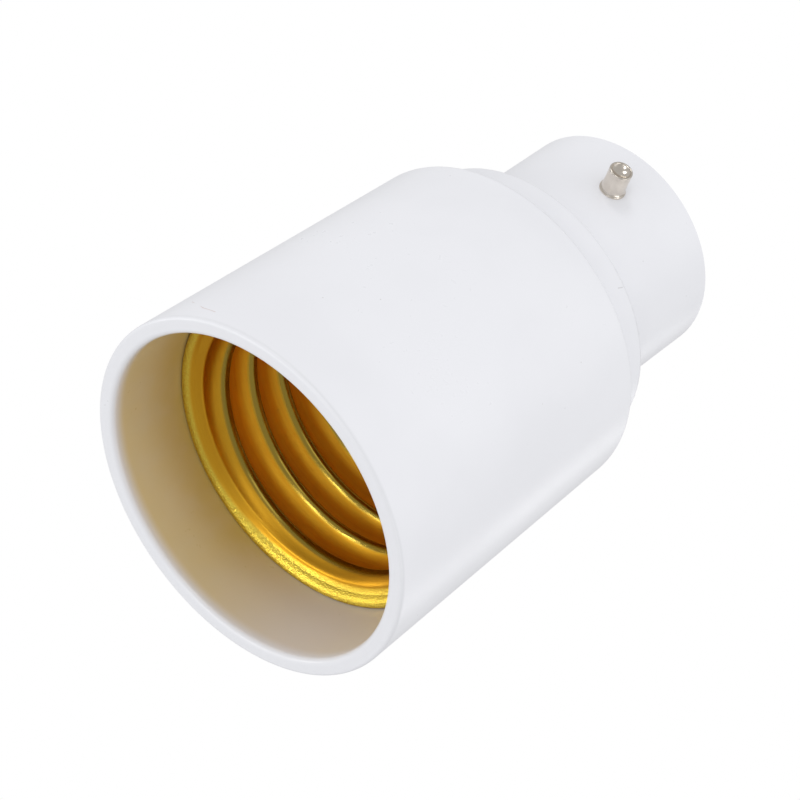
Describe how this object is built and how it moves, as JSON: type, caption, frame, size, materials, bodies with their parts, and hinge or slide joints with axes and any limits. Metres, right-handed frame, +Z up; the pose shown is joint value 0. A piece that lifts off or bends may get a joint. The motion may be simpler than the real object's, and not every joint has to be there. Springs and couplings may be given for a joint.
{
  "type": "lamp socket adapter",
  "caption": "White plastic lamp socket adapter: its pinned bayonet neck plugs into a lamp holder, and the gold screw shell in its cup takes a screw-cap lamp.",
  "frame": {"origin": "centre of the mouth's rim, on the plane that the part stands on", "axes": "+Z up along the axis from the mouth to the bayonet neck, bayonet pins along X, end contacts along Y"},
  "size_m": [0.034, 0.034, 0.052],
  "materials": {
    "white_plastic": "satin moulded white plastic",
    "gold_shell": "gold-coloured rolled sheet",
    "contact_brass": "plain stamped brass",
    "nickel_pin": "nickel plate",
    "solder": "dull solder",
    "tinned_copper": "tinned wire",
    "lead_sleeve": "woven sleeve",
    "screw_steel": "zinc plate"
  },
  "bodies": {
    "adapter": {"skirt": "white_plastic", "bayonet_base": "white_plastic", "contact_carrier": "white_plastic", "screw_shell": "gold_shell", "centre_rivet": "contact_brass", "shell_rivet": "contact_brass", "live_end_eyelet": "contact_brass", "neutral_end_eyelet": "contact_brass", "bayonet_pin_left": "nickel_pin", "bayonet_pin_right": "nickel_pin", "live_end_solder": "solder", "neutral_end_solder": "solder", "centre_solder": "solder", "shell_solder": "solder", "live_core": "tinned_copper", "neutral_core": "tinned_copper", "live_sleeve": "lead_sleeve", "neutral_sleeve": "lead_sleeve", "fixing_screws": "screw_steel"},
    "contact_leaf": {"centre_contact": "contact_brass"}
  },
  "joints": [
    {"name": "contact_flex", "type": "hinge", "parent": "adapter", "child": "contact_leaf", "pos_m": [0, -0.0032, 0.02703], "axis": [1, 0, 0], "range_deg": [0, 14], "stiffness_Nm_per_rad": 0.05, "deforming": ["centre_contact"]}
  ]
}
